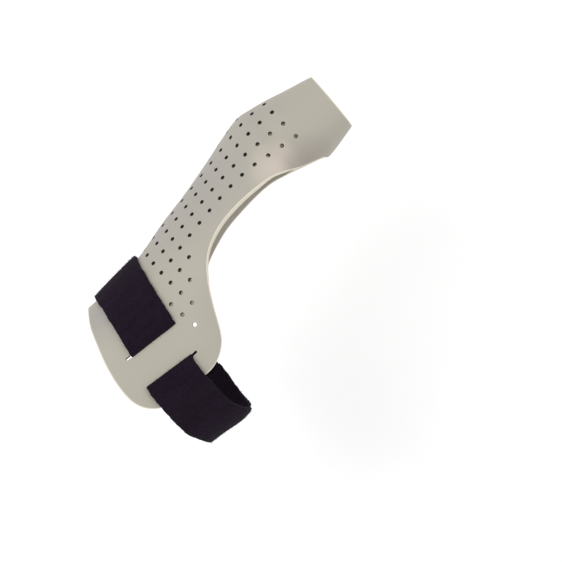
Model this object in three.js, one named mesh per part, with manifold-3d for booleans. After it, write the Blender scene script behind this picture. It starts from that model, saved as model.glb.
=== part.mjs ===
// Thumb spica splint: one moulded perforated sheet with a gutter and a thumb tube, closed round the wrist
// by a loop-pile strap. Millimetres. +X runs from the cuff to the tube's rim, +Y to the radial side and +Z
// to the dorsal side, and the origin is the middle of the wrist opening. Everything is worked out flat, as
// a place X along the form that the sheet was moulded on, a length S round it from its radial side and a
// height D over the sheet's outer face, and is then bent onto that form.
import * as THREE from "three";
import { mergeVertices } from "three/addons/utils/BufferGeometryUtils.js";
import Module from "manifold-3d";

const WALL = 2.4; // thickness of the moulded sheet
const REACH = 114.5; // from the origin to the tube's rim
const CUFF = 22; // from the origin back to the plate's proximal end
const WRIST_WIDTH = 75.2; // across the form at the wrist, over the sheet's outer face
const GUTTER_WIDTH = 68; // across the form at the gutter
const TUBE_DIAMETER = 23.4; // outside the rim
const THUMB_OFFSET = 43.5; // from the form's axis at the wrist to the tube's axis
const RIM_LEAN = 0.065; // how far the rim runs distally for each mm towards the web

const STRAP_WIDTH = 22;
const STRAP_THICKNESS = 1.5;
const HOOK_LENGTH = 17;
const HOOK_WIDTH = 18;
const HOOK_THICKNESS = 1;
const CLEARANCE = 0.3; // between pieces that lie on each other
const LAYER_GAP = 0.5; // between the hook tab and the curved layers of the strap on both its sides
const BEND_RADIUS = 0.3; // of the strap's inner face where it turns over a slit's edge
const STEP_DOWN = 9; // length over which the strap comes down off the sheet's edge
const INNER_END = 63; // length round the palmar side from the radial side to the strap's inner end
const OUTER_END = 85; // and to its outer end

const SLIT_LENGTH = 24.8;
const SLIT_SPACING = 14.6; // between the two slits
const SLIT_CENTRE = [-0.8, 2.1]; // X and Y of the middle between the slits
const SLIT_WIDTH = STRAP_THICKNESS + 2 * CLEARANCE;

const HOLE_DIAMETER = 1.8;
const HOLE_PITCH = 6.42; // between columns of perforations
const HOLE_SPREAD = 0.13; // share by which that grows on the tube, where the sheet was drawn out
const ROW_PITCH = 5.85; // between rows along X at the first row
const ROW_STRETCH = 0.0236; // how much the rows spread where the warm sheet was drawn over the gutter
const ROW_START = 12.1; // X of the first row
const ROW_COUNT = 14;
const ROW_BOW = 0.14; // how far a row bows along X with the square of its columns
const ROW_SWING = 1.7; // how far a row leans along X for each column at the rim
const FIRST_COLUMN = -4; // columns run from the palmar side, with column 0 along FIRST_HOLES
const LAST_COLUMN = 6; // to the dorsal side
const TUBE_COLUMN = 2; // the last column on the tube
const TUBE_START = 0.72; // where the tube's rows start, as a share of REACH
const TUBE_MIDDLE = 0.816; // where the spread is whole
const HOLE_MARGIN = 6; // plain border along the free edges
const STRAP_SHADOW = 13.7; // X short of which there are no perforations, because the strap lies there

const OPEN_ROWS = 25; // faces along the open part of the sheet, on the tube and from edge to edge
const TUBE_ROWS = 4;
const COLUMNS = 26;
const ROW_CROWDING = 1.3; // how much the rows of faces crowd towards the web
const BORDER_FADE = 14; // X where the rows run straight across again, clear of the proximal border
const BORDER_SAMPLES = 120;
const HOLE_SIDES = 6;
const CUT = 1; // how far a cutter runs past the sheet's faces
const SLIT_STEPS = 4; // faces along a slit
const STRAP_STEP = 3; // longest step along the strap
const STRAP_COLUMNS = [-0.5, 0, 0.5]; // across the strap, as shares of its width
const BEND_STEPS = 3; // where the strap turns through a slit
const HOOK_STEPS = 10;

const ROUND = 0.5523; // a cubic curve's handle for a quarter circle
const WHOLE_TURN = 4; // turns are counted in quarters
const HALF_TURN = 2;
const STEP = 0.05; // along X and, in quarter turns, round the form, for slopes
const TURN_STEP = 0.005;
const BISECTIONS = 40;
const GIRTH_STEPS = 480;
const MERGE = 1e-4; // points nearer than this are one

// Sections across the form. AT is X as a share of REACH. AXIS and LEVEL are the Y and Z of the section's
// middle as shares of THUMB_OFFSET. RADIAL, WEB, TOP and BOTTOM reach from that middle to the radial, web,
// dorsal and palmar sides, as shares of the size named in OF. NOSE and CROWN are how full its dorsal face
// is at the radial side and at the top, where 0.55 is an ellipse and less is a flatter facet between
// tighter turns.
const SECTIONS = table(
  ["at", "of", "axis", "level", "radial", "web", "top", "bottom", "nose", "crown"],
  [
    [-0.24, WRIST_WIDTH, -0.028, 0, 0.468, 0.498, 0.294, 0.292, 0.55, 0.55],
    [0, WRIST_WIDTH, -0.028, 0, 0.5, 0.5, 0.3, 0.3, 0.55, 0.55],
    [0.13, WRIST_WIDTH, 0.01, 0, 0.52, 0.51, 0.306, 0.3, 0.5, 0.5],
    [0.264, GUTTER_WIDTH, 0.32, -0.08, 0.456, 0.6, 0.39, 0.353, 0.43, 0.45],
    [0.396, GUTTER_WIDTH, 0.4, -0.12, 0.471, 0.6, 0.404, 0.36, 0.4, 0.46],
    [0.528, GUTTER_WIDTH, 0.46, -0.15, 0.511, 0.6, 0.426, 0.36, 0.34, 0.46],
    [0.616, GUTTER_WIDTH, 0.48, -0.14, 0.554, 0.5, 0.404, 0.35, 0.33, 0.45],
    [0.695, TUBE_DIAMETER, 0.62, -0.09, 1.465, 0.9, 0.86, 0.85, 0.5, 0.54],
    [0.752, TUBE_DIAMETER, 0.93, -0.07, 0.876, 0.7, 0.632, 0.68, 0.55, 0.55],
    [0.81, TUBE_DIAMETER, 1, -0.06, 0.716, 0.735, 0.598, 0.61, 0.55, 0.55],
    [0.88, TUBE_DIAMETER, 0.975, -0.055, 0.707, 0.667, 0.577, 0.577, 0.55, 0.55],
    [1.02, TUBE_DIAMETER, 1, -0.05, 0.56, 0.5, 0.5, 0.5, 0.55, 0.55],
  ],
);

// Free edges of the sheet: Y of its dorsal and palmar borders as shares of THUMB_OFFSET, down to the web in
// the last row, where they meet and the tube closes.
const EDGES = table(
  ["at", "dorsal", "palmar"],
  [
    [-0.24, -0.336, 0.18],
    [0.075, -0.336, 0.18],
    [0.12, -0.317, 0.19],
    [0.165, -0.253, 0.22],
    [0.207, -0.124, 0.28],
    [0.232, 0.06, 0.33],
    [0.266, 0.276, 0.4],
    [0.309, 0.471, 0.49],
    [0.355, 0.593, 0.56],
    [0.433, 0.699, 0.65],
    [0.53, 0.756, 0.71],
    [0.61, 0.772, 0.74],
    [0.684, 0.766, 0.74],
    [0.774, 0.685, 0.68],
    [0.83, 0.655, 0.652],
    [0.86, 0.635, 0.634],
    [0.876, 0.6, 0.6],
  ],
);
const WEB = EDGES.at(-1).at * REACH;

// The plate's proximal border. AT is Y as a share of THUMB_OFFSET. DORSAL and PALMAR are how far the border
// stands in from CUFF on either side, as shares of CUFF.
const BORDER = table(
  ["at", "dorsal", "palmar"],
  [
    [-0.34, 0.37, 0.62],
    [-0.315, 0.27, 0.62],
    [-0.25, 0.14, 0.62],
    [-0.147, 0.04, 0.6],
    [0.037, 0, 0.62],
    [0.267, 0.036, 0.56],
    [0.506, 0.136, 0.44],
    [0.657, 0.218, 0.4],
    [0.8, 0.37, 0.38],
  ],
);

// Y of perforation column 0 as a share of THUMB_OFFSET.
const FIRST_HOLES = table(
  ["at", "y"],
  [
    [0.11, 0.85],
    [0.163, 0.878],
    [0.265, 0.949],
    [0.42, 1.062],
    [0.53, 1.136],
    [0.64, 1.2],
    [0.752, 1.246],
    [0.82, 1.257],
  ],
);

// X of the strap's middle line as a share of its width, at shares of the girth from the radial side.
const DRIFT = table(
  ["at", "x"],
  [
    [-0.5, 0.22],
    [-0.25, 0.16],
    [0, 0.118],
    [0.196, 0.014],
    [0.273, -0.1],
    [0.36, -0.07],
    [0.41, -0.01],
    [0.455, 0.14],
    [0.5, 0.22],
    [0.67, 0.2],
  ],
);

function table(columns, rows) {
  return rows.map((row) => Object.fromEntries(columns.map((name, i) => [name, row[i]])));
}

// One column of a table at a place between its rows, on a smooth curve through them. READ gives a row's
// value.
function between(rows, at, read) {
  const last = rows.length - 1;
  let i = 0;
  while (i < last - 1 && rows[i + 1].at < at) i++;
  const slope = (j) => {
    const a = rows[Math.max(j - 1, 0)];
    const b = rows[Math.min(j + 1, last)];
    return (read(b) - read(a)) / (b.at - a.at);
  };
  const from = rows[i];
  const to = rows[i + 1];
  const span = to.at - from.at;
  const t = THREE.MathUtils.clamp((at - from.at) / span, 0, 1);
  const s = 1 - t;
  return (
    (1 + 2 * t) * s * s * read(from) +
    t * s * s * span * slope(i) +
    t * t * (3 - 2 * t) * read(to) -
    t * t * s * span * slope(i + 1)
  );
}

const sections = new Map();
function sectionAt(x) {
  if (!sections.has(x)) {
    const share = (name) => between(SECTIONS, x / REACH, (row) => row[name]);
    const size = (name) => between(SECTIONS, x / REACH, (row) => row[name] * row.of);
    sections.set(x, {
      y: share("axis") * THUMB_OFFSET,
      z: share("level") * THUMB_OFFSET,
      radial: size("radial"),
      web: size("web"),
      top: size("top"),
      bottom: size("bottom"),
      nose: share("nose"),
      crown: share("crown"),
    });
  }
  return sections.get(x);
}

// A place on the sheet's outer face. X is along the form and TURN is in quarter turns: 0 at the radial
// side, 1 at the dorsal side, -1 at the palmar side and 2 or -2 at the web. Each quarter is one cubic
// curve.
function surface(x, turn) {
  const form = sectionAt(x);
  const wrapped = THREE.MathUtils.euclideanModulo(turn + HALF_TURN, WHOLE_TURN) - HALF_TURN;
  const side = Math.abs(wrapped);
  const height = wrapped < 0 ? -form.bottom : form.top;
  const onWeb = side > 1;
  const t = onWeb ? HALF_TURN - side : side;
  const breadth = onWeb ? -form.web : form.radial;
  const plain = onWeb || wrapped < 0;
  const nose = plain ? ROUND : form.nose;
  const crown = plain ? ROUND : form.crown;
  const s = 1 - t;
  const across = s * s * s + 3 * s * s * t + 3 * s * t * t * crown;
  const up = 3 * s * s * t * nose + 3 * s * t * t + t * t * t;
  return new THREE.Vector3(x, form.y + breadth * across, form.z + height * up);
}

function normalAt(x, turn) {
  const along = surface(x + STEP, turn).sub(surface(x - STEP, turn));
  const around = surface(x, turn + TURN_STEP).sub(surface(x, turn - TURN_STEP));
  return around.cross(along).normalize();
}

// The turn at which the outer face has a given Y, on the dorsal side (1) or on the palmar side (-1).
function turnAtY(x, y, side) {
  let low = 0;
  let high = HALF_TURN;
  for (let i = 0; i < BISECTIONS; i++) {
    const middle = (low + high) / 2;
    if (surface(x, side * middle).y > y) low = middle;
    else high = middle;
  }
  return (side * (low + high)) / 2;
}

// Lengths round the outer face at X, from the radial side, at even steps of the turn.
const girths = new Map();
function girthAt(x) {
  if (!girths.has(x)) {
    const lengths = [0];
    let before = surface(x, -HALF_TURN);
    for (let i = 1; i <= GIRTH_STEPS; i++) {
      const here = surface(x, (WHOLE_TURN * i) / GIRTH_STEPS - HALF_TURN);
      lengths.push(lengths[i - 1] + here.distanceTo(before));
      before = here;
    }
    const middle = lengths[GIRTH_STEPS / 2];
    girths.set(x, lengths.map((length) => length - middle));
  }
  return girths.get(x);
}

function wholeGirth(x) {
  const lengths = girthAt(x);
  return lengths[GIRTH_STEPS] - lengths[0];
}

function turnAtLength(x, s) {
  const lengths = girthAt(x);
  const whole = wholeGirth(x);
  const wraps = Math.floor((s - lengths[0]) / whole);
  const local = s - wraps * whole;
  let i = 0;
  while (i < GIRTH_STEPS - 1 && lengths[i + 1] < local) i++;
  const part = (local - lengths[i]) / (lengths[i + 1] - lengths[i]);
  return (WHOLE_TURN * (i + part)) / GIRTH_STEPS - HALF_TURN + WHOLE_TURN * wraps;
}

function lengthAtTurn(x, turn) {
  const lengths = girthAt(x);
  const place = ((turn + HALF_TURN) / WHOLE_TURN) * GIRTH_STEPS;
  const i = THREE.MathUtils.clamp(Math.floor(place), 0, GIRTH_STEPS - 1);
  return lengths[i] + (place - i) * (lengths[i + 1] - lengths[i]);
}

// A point given flat, bent onto the form. Turns are read at MID, so lines along X stay straight round the
// wrist.
function onForm(x, s, d, mid = x) {
  const turn = turnAtLength(mid, s);
  return surface(x, turn).addScaledVector(normalAt(x, turn), d);
}

// Which column of a table of borders holds a side.
function borderOf(side) {
  return (row) => (side > 0 ? row.dorsal : row.palmar);
}

// The turn of the sheet's free edge on the dorsal side (1) or on the palmar side (-1).
function edgeTurn(x, side) {
  if (x >= WEB) return HALF_TURN * side;
  return turnAtY(x, between(EDGES, x / REACH, borderOf(side)) * THUMB_OFFSET, side);
}

// A closed body from a grid of outer and inner points. Its two sides are open edges for OPEN rows of faces,
// and beyond them they meet in a tube.
function sheetGeometry(outer, inner, open) {
  const rows = outer.length;
  const columns = outer[0].length;
  const points = [...outer.flat(), ...inner.flat()];
  const index = (layer, i, j) => layer * rows * columns + i * columns + j;
  const faces = [];
  const quad = (a, b, c, d) => faces.push(a, b, c, a, c, d);
  for (let i = 0; i < rows - 1; i++)
    for (let j = 0; j < columns - 1; j++) {
      quad(index(0, i, j), index(0, i, j + 1), index(0, i + 1, j + 1), index(0, i + 1, j));
      quad(index(1, i, j), index(1, i + 1, j), index(1, i + 1, j + 1), index(1, i, j + 1));
    }
  for (let j = 0; j < columns - 1; j++) {
    quad(index(0, 0, j), index(1, 0, j), index(1, 0, j + 1), index(0, 0, j + 1));
    const end = rows - 1;
    quad(index(0, end, j), index(0, end, j + 1), index(1, end, j + 1), index(1, end, j));
  }
  for (let i = 0; i < open; i++) {
    const side = columns - 1;
    quad(index(0, i, 0), index(0, i + 1, 0), index(1, i + 1, 0), index(1, i, 0));
    quad(index(0, i, side), index(1, i, side), index(1, i + 1, side), index(0, i + 1, side));
  }
  const geometry = new THREE.BufferGeometry().setFromPoints(points);
  geometry.setIndex(faces);
  return geometry;
}

// The sheet before its holes: rows along X that crowd towards the web, and columns from edge to edge.
function shellBlank() {
  const stations = [];
  for (let i = 0; i < OPEN_ROWS; i++)
    stations.push(WEB - (WEB + CUFF) * Math.pow(1 - i / OPEN_ROWS, ROW_CROWDING));
  for (let i = 0; i <= TUBE_ROWS; i++) stations.push(WEB + ((REACH - WEB) * i) / TUBE_ROWS);
  const outer = [];
  const inner = [];
  stations.forEach((station) => {
    const outerRow = [];
    const innerRow = [];
    for (let j = 0; j <= COLUMNS; j++) {
      const w = THREE.MathUtils.lerp(-1, 1, j / COLUMNS);
      const side = w < 0 ? -1 : 1;
      const first = surface(station, Math.abs(w) * edgeTurn(station, side));
      const x = station + borderShift(station, first.y, side) + rimShift(station, first.y);
      const turn = Math.abs(w) * edgeTurn(x, side);
      outerRow.push(surface(x, turn));
      innerRow.push(surface(x, turn).addScaledVector(normalAt(x, turn), -WALL));
    }
    outer.push(outerRow);
    inner.push(innerRow);
  });
  return sheetGeometry(outer, inner, OPEN_ROWS);
}

// How far the proximal border and the rim move a row of the sheet along X.
function borderShift(station, y, side) {
  const fade = THREE.MathUtils.clamp((BORDER_FADE - station) / (BORDER_FADE + CUFF), 0, 1);
  return CUFF * fade * between(BORDER, y / THUMB_OFFSET, borderOf(side));
}

function rimShift(station, y) {
  const fade = THREE.MathUtils.clamp((station - WEB) / (REACH - WEB), 0, 1);
  return RIM_LEAN * fade * (THUMB_OFFSET - y);
}

const wasm = await Module();
wasm.setup();

function solid(geometry) {
  const bare = geometry.clone();
  bare.deleteAttribute("normal");
  bare.deleteAttribute("uv");
  const merged = mergeVertices(bare, MERGE);
  const vertProperties = merged.attributes.position.array;
  const triVerts = new Uint32Array(merged.index.array);
  return new wasm.Manifold(new wasm.Mesh({ numProp: 3, vertProperties, triVerts }));
}

function geometryOf(body) {
  const mesh = body.getMesh();
  const geometry = new THREE.BufferGeometry();
  geometry.setAttribute("position", new THREE.BufferAttribute(mesh.vertProperties, 3));
  geometry.setIndex(new THREE.BufferAttribute(mesh.triVerts, 1));
  geometry.computeVertexNormals();
  return geometry;
}

// A flat body with X along the form, Y round it and Z off the sheet, bent onto the form. That mirrors it,
// so its triangles are turned round.
function bend(geometry, mid) {
  const positions = geometry.attributes.position;
  const point = new THREE.Vector3();
  for (let i = 0; i < positions.count; i++) {
    point.fromBufferAttribute(positions, i);
    const placed = onForm(point.x, point.y, point.z, mid);
    positions.setXYZ(i, placed.x, placed.y, placed.z);
  }
  const index = geometry.index.array;
  for (let i = 0; i < index.length; i += 3) [index[i + 1], index[i + 2]] = [index[i + 2], index[i + 1]];
  return geometry;
}

const SLITS = [SLIT_CENTRE[1] + SLIT_SPACING / 2, SLIT_CENTRE[1] - SLIT_SPACING / 2].map((y) =>
  lengthAtTurn(0, turnAtY(0, y, 1)),
);
function slitCutter(s) {
  const block = new THREE.BoxGeometry(SLIT_LENGTH, SLIT_WIDTH, WALL + 2 * CUT, SLIT_STEPS, 1, 1);
  block.translate(SLIT_CENTRE[0], s, -WALL / 2);
  return bend(block, 0);
}

// The perforations: a square grid, a little stretched, wherever the sheet leaves a plain border round it.
function holePlaces() {
  const border = [];
  for (let i = 0; i <= BORDER_SAMPLES; i++) {
    const x = THREE.MathUtils.lerp(0, WEB, i / BORDER_SAMPLES);
    border.push(surface(x, edgeTurn(x, 1)), surface(x, edgeTurn(x, -1)));
  }
  const places = [];
  for (let row = 0; row < ROW_COUNT; row++)
    for (let column = FIRST_COLUMN; column <= LAST_COLUMN; column++) {
      const straight = ROW_START + ROW_PITCH * row + ROW_STRETCH * row * row;
      if (straight > TUBE_START * REACH && column > TUBE_COLUMN) continue;
      const swing = ROW_SWING * column * Math.pow(straight / REACH, 4);
      const x = straight + ROW_BOW * column * column + swing;
      const first = turnAtY(x, between(FIRST_HOLES, x / REACH, (line) => line.y) * THUMB_OFFSET, 1);
      const spread = HOLE_SPREAD * Math.pow(straight / REACH / TUBE_MIDDLE, 8);
      const s = lengthAtTurn(x, first) + column * HOLE_PITCH * (1 + spread);
      const place = onForm(x, s, 0);
      const free = border.every((edge) => edge.distanceTo(place) > HOLE_MARGIN);
      const turn = turnAtLength(x, s);
      const inside = turn < edgeTurn(x, 1) && turn > edgeTurn(x, -1);
      if (free && inside && x > STRAP_SHADOW) places.push([x, s]);
    }
  return places;
}

function holeCutter([x, s]) {
  const pin = new THREE.CylinderGeometry(HOLE_DIAMETER / 2, HOLE_DIAMETER / 2, WALL + 2 * CUT, HOLE_SIDES);
  const turn = turnAtLength(x, s);
  const normal = normalAt(x, turn);
  pin.applyQuaternion(new THREE.Quaternion().setFromUnitVectors(new THREE.Vector3(0, 1, 0), normal));
  const middle = surface(x, turn).addScaledVector(normal, -WALL / 2);
  return pin.translate(middle.x, middle.y, middle.z);
}

function shellGeometry() {
  let shell = solid(shellBlank());
  SLITS.forEach((s) => (shell = shell.subtract(solid(slitCutter(s)))));
  holePlaces().forEach((place) => (shell = shell.subtract(solid(holeCutter(place)))));
  return geometryOf(shell);
}

// Heights of the strap's middle line over the sheet's outer face: on and under the sheet, against the form
// beside it and over the hook tab.
const HALF = STRAP_THICKNESS / 2;
const OVER = CLEARANCE + HALF;
const UNDER = -WALL - OVER;
const ON_FORM = -WALL + HALF;
const ON_HOOK = ON_FORM + HOOK_THICKNESS + 2 * (LAYER_GAP + HALF);

// The strap's middle line, flat: S round the wrist and D over the sheet, from its inner end under the
// overlap, round the ulnar side, through both slits and round the radial side to its outer end.
function strapLine() {
  const [upper, lower] = SLITS;
  const plateEdge = lengthAtTurn(0, edgeTurn(0, 1));
  const palmarEdge = lengthAtTurn(0, edgeTurn(0, -1));
  const radius = BEND_RADIUS + HALF;
  const path = new THREE.Path();
  path.moveTo(wholeGirth(0) - INNER_END, ON_FORM);
  path.lineTo(plateEdge + STEP_DOWN, ON_FORM);
  const halfway = plateEdge + STEP_DOWN / 2;
  path.bezierCurveTo(halfway, ON_FORM, halfway, OVER, plateEdge, OVER);
  path.lineTo(lower + radius, OVER);
  path.absarc(lower + radius, OVER - radius, radius, Math.PI / 2, Math.PI, false);
  path.lineTo(lower, UNDER + radius);
  path.absarc(lower - radius, UNDER + radius, radius, 0, -Math.PI / 2, true);
  path.lineTo(upper + radius, UNDER);
  path.absarc(upper + radius, UNDER + radius, radius, -Math.PI / 2, -Math.PI, true);
  path.lineTo(upper, OVER - radius);
  path.absarc(upper - radius, OVER - radius, radius, 0, Math.PI / 2, false);
  path.lineTo(palmarEdge, OVER);
  path.lineTo(STEP_DOWN / 2 - INNER_END, ON_HOOK);
  path.lineTo(-OUTER_END, ON_HOOK);
  const corners = path.getPoints(BEND_STEPS);
  const line = [corners[0]];
  corners.slice(1).forEach((to, i) => {
    const from = corners[i];
    const steps = Math.ceil(from.distanceTo(to) / STRAP_STEP);
    for (let k = 1; k <= steps; k++) line.push(from.clone().lerp(to, k / steps));
  });
  return line.filter((point, i) => i === 0 || point.distanceTo(line[i - 1]) > MERGE);
}

// X of the strap's middle line, which drifts along the form as it winds round.
function strapDrift(s) {
  return STRAP_WIDTH * between(DRIFT, s / wholeGirth(0), (row) => row.x);
}

function strapGeometry() {
  const line = strapLine();
  const outer = [];
  const inner = [];
  line.forEach((point, i) => {
    const before = line[Math.max(i - 1, 0)];
    const after = line[Math.min(i + 1, line.length - 1)];
    const along = after.clone().sub(before).normalize();
    const off = new THREE.Vector2(along.y, -along.x).multiplyScalar(HALF);
    const x = strapDrift(point.x);
    const row = (side) =>
      STRAP_COLUMNS.map((w) => onForm(x + w * STRAP_WIDTH, point.x + side * off.x, point.y + side * off.y, 0));
    outer.push(row(1));
    inner.push(row(-1));
  });
  return sheetGeometry(outer, inner, line.length - 1);
}

function hookGeometry() {
  const middle = -(INNER_END + OUTER_END) / 2;
  const tab = new THREE.BoxGeometry(HOOK_WIDTH, HOOK_LENGTH, HOOK_THICKNESS, 2, HOOK_STEPS, 1);
  tab.translate(strapDrift(middle), middle, ON_FORM + HALF + LAYER_GAP + HOOK_THICKNESS / 2);
  return bend(tab, 0);
}

function piece(name, geometry, material) {
  const mesh = new THREE.Mesh(geometry, material);
  mesh.name = name;
  return mesh;
}

const plastic = new THREE.MeshStandardMaterial({ color: 0xbab6a8, roughness: 0.7, metalness: 0 });
const loopPile = new THREE.MeshStandardMaterial({ color: 0x221824, roughness: 0.95, metalness: 0 });
const hookTape = new THREE.MeshStandardMaterial({ color: 0x1c1a1e, roughness: 0.8, metalness: 0 });

const group = new THREE.Group();
group.name = "thumb_spica_splint";
group.add(piece("splint_shell", shellGeometry(), plastic));
group.add(piece("wrist_strap", strapGeometry(), loopPile));
group.add(piece("hook_tab", hookGeometry(), hookTape));

export default group;
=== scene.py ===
import math
import random

import bmesh
import bpy
import numpy as np
from mathutils import Matrix, Vector


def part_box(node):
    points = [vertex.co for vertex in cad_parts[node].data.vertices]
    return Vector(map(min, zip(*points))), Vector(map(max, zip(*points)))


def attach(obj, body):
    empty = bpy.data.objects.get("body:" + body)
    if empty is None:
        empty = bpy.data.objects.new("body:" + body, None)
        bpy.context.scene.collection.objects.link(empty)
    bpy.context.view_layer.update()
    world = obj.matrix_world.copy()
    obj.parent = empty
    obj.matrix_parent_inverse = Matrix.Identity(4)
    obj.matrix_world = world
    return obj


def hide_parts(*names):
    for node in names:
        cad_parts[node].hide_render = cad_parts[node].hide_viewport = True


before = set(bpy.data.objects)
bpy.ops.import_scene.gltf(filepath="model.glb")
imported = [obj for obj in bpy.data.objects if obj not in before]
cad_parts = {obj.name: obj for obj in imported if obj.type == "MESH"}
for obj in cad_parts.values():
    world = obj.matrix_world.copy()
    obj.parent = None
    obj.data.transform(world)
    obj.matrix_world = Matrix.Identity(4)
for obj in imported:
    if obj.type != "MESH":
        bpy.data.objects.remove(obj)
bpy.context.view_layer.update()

bl_info = {
    "name": "Thumb spica splint",
    "version": (1, 0, 0),
    "blender": (4, 5, 0),
    "location": "View3D > Sidebar > Splint",
    "description": "Makes a moulded perforated thumb splint with its wrist strap",
    "category": "Add Mesh",
}

MM = 0.001

# The sheet, the strap and the hook tape are worked out flat, in mm, and then bent onto the form that the
# sheet was moulded on. X runs along the form from the cuff to the tube, S round it from its radial side
# over its dorsal side, and D over the sheet's outer face. In space Y is radial and Z is dorsal. A turn
# starts where S does and is counted in quarters.
REACH = 114.5  # from the origin to the tube's rim
CUFF = 22  # from the origin back to the plate's proximal border
CUFF_WIDTH = 75.2  # across the form at the cuff, over the sheet's outer face
GUTTER_WIDTH = 68  # across the form at the gutter
TUBE_DIAMETER = 23.4  # outside the rim
TUBE_OFFSET = 43.5  # from the form's axis at the cuff to the tube's axis
RIM_LEAN = 0.065  # how far the rim runs distally for each mm towards the web
WEB_AT = 0.876  # where the two free edges meet, as a share of REACH
WHOLE_TURN = 4
HALF_TURN = 2

# Faces of the sheet.
SHEET_ROWS = 80
SHEET_COLUMNS = 40
OPEN_SHARE = 0.84  # of the rows, that lie on the open part of the sheet
ROW_CROWDING = 1.08  # how much the rows crowd towards the web
BORDER_FADE = 14  # X where the rows run straight across again, clear of the proximal border
BORDER_SAMPLES = 121  # places along the free edges that perforations keep clear of
SHEET_MERGE = 0.02  # points of the sheet nearer than this are one
ROUND_STEPS = 2  # faces round its two long corners
SHEET_SMOOTH = 40  # degrees past which an edge stays sharp

# Places of the sheet's finishes on its mesh.
FACE_FINISH = 0
# The trimmed edge's pale finish, partly a painted highlight.
EDGE_AND_HIGHLIGHT_FINISH = 1
# Painted shade on the walls of the perforations and slits.
BORE_SHADE_FINISH = 2

SLIT_CENTRE = (-0.8, 2.1)  # X and Y of the middle between the slits
SLIT_SPACING = 14.6  # between the two slits
SLIT_SLACK = 0.2  # between the strap's edge and the narrow end of a slit
SLIT_STEP = 0.3  # X over which a slit narrows
SLIT_DEPTH = 3  # of its cutter, in walls

HOLE_PITCH = 6.42  # between columns of perforations
HOLE_SPREAD = 0.13  # share by which that grows on the tube, where the sheet was drawn out
SPREAD_POWER = 8  # how suddenly it grows
HOLE_MARGIN = 6  # plain border along the free edges
HOLE_SIDES = 24  # faces round a perforation
ROW_PITCH = 5.85  # between rows along X at the first row
ROW_STRETCH = 0.0236  # how much the rows spread where the warm sheet was drawn over the gutter
ROW_START = 12.1  # X of the first row
ROW_COUNT = 14
ROW_BOW = 0.14  # how far a row bows along X with the square of its columns
ROW_SWING = 1.7  # how far a row leans along X for each column at the rim
SWING_POWER = 4  # how suddenly it leans
FIRST_COLUMN = -4  # columns run from the palmar side, with column 0 along FIRST_HOLES
LAST_COLUMN = 6  # to the dorsal side
TUBE_COLUMN = 2  # the last column on the tube
TUBE_START = 0.72  # where the tube's rows start, as a share of REACH
TUBE_MIDDLE = 0.816  # where the spread is whole
STRAP_SHADOW = 13.7  # X short of which there are no perforations, because the strap lies there

INNER_END = 63  # S from the radial side over the palmar side to the strap's inner end
OUTER_END = 85  # and to its outer end
STEP_DOWN = 9  # S over which the strap comes down off the sheet's edge
EASE_POINTS = 9  # of its line on the way down
BEND_RADIUS = 0.3  # of the strap's inner face where it turns over a slit's edge
ARC_STEPS = 6  # points of its line in each such turn
STRAP_STEP = 1.1  # longest step along the strap
STRAP_RIBS = 16  # faces across the strap
STRAP_MERGE = 0.05  # points of its line nearer than this are one
STRAP_SMOOTH = 60  # degrees past which an edge is rounded, and isn't shaded smooth
STRAP_CORE = 0.97  # thickness of the strap under its pile, as a share of the whole
STRAP_ROUND = 0.3  # radius of its corners, as another
SWELL_LENGTH = 11  # S over which the strap stands off the sheet's radial edge
SWELL_WIDTH = 0.05  # share by which it is wider there
SWELL_RISE = 0.8  # how far its middle rises there
WAVES = 9  # in the wander of the strap's edges
WAVE_RATES = (0.3, 2.6)  # slowest and fastest, in radians for each mm
WAVE_SIZES = (0.02, 0.06)  # smallest and largest
DISTAL_SEED = 3  # for the edge towards the tube
PROXIMAL_SEED = 8  # and for the other one

FIBRE_SIDES = 3
FIBRE_ROOT = 0.06  # radius where a fibre stands on the strap
FIBRE_TIP = 0.02  # and at its tip
FIBRE_BOW = 0.3  # how far the tip bends over
FIBRE_CUTS = 2  # rings of points between the two
FIBRE_LEAN = 0.9  # radians
FIBRE_SIZES = (0.35, 1.0)  # shortest and longest fibre
FIBRE_SEED = 5

HOOK_LENGTH = 17
HOOK_WIDTH = 18
HOOK_CUTS = 20  # rows of points along it
HOOK_ROUND = 0.15  # radius of its corners
HOOK_CORNER = 50  # degrees past which an edge is rounded
HOOK_SMOOTH = 40

# Patches of another tone on the sheet: greyer painted shade along its radial side, where it turns from the
# light, a paler patch in the trough by the web, and darker painted shade in the web corner. X, Y and reach in
# mm, and the strength at the middle.
RADIAL_SHADE_PATCHES = ((52, 50, 34, 1.1), (26, 42, 22, 0.7), (-14, 30, 16, 1.1), (85, 58, 16, 0.5))
LIGHT_PATCHES = ((81, 36, 12, 1.0), (75, 35, 9, 0.4), (86, 37, 7, 0.4))
# Painted shade in the web corner.
WEB_CORNER_SHADE_PATCHES = ((93, 31, 12, 0.9), (102, 33, 8, 0.25))

FLOOR_SIZE = 3000  # from its middle to its sides
FLOOR_GLOW = 0.1
SKY_STRENGTH = 0.72
WHITE = (1, 1, 1, 1)
LIGHTS = (  # name, place and size in metres, watts
    ("key", (-0.35, 0.75, 0.95), 0.7, 6.6),
    ("fill", (0.8, -0.5, 0.9), 0.9, 3.3),
    ("low", (-0.7, -0.6, 0.5), 0.8, 1.6),
)
LIGHT_AIM = (0.045, 0.01, 0)  # where they shine, in metres
VIEW_CENTRE = (0.0551, -0.0021, 0.01)  # what the camera looks at, in metres
VIEW_RIGHT = (0.807, -0.591, 0)  # the view's right and up, before they are made length 1
VIEW_UP = (0.591, 0.807, 0)
SENSOR = 36  # mm
CLIP_END = 20  # metres

ROUND = 0.5523  # a cubic curve's handle for a quarter circle
STEP = 0.05  # along X, for slopes
TURN_STEP = STEP / 10
BISECTIONS = 30  # halvings that find a turn
GIRTH_STEPS = 240  # chords that measure a girth
GIRTH_TURNS = np.linspace(-HALF_TURN, HALF_TURN, GIRTH_STEPS + 1)


def table(names, rows):
    """A table of named columns, each an array."""
    return {name: np.array([row[i] for row in rows], float) for i, name in enumerate(names)}


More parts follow.
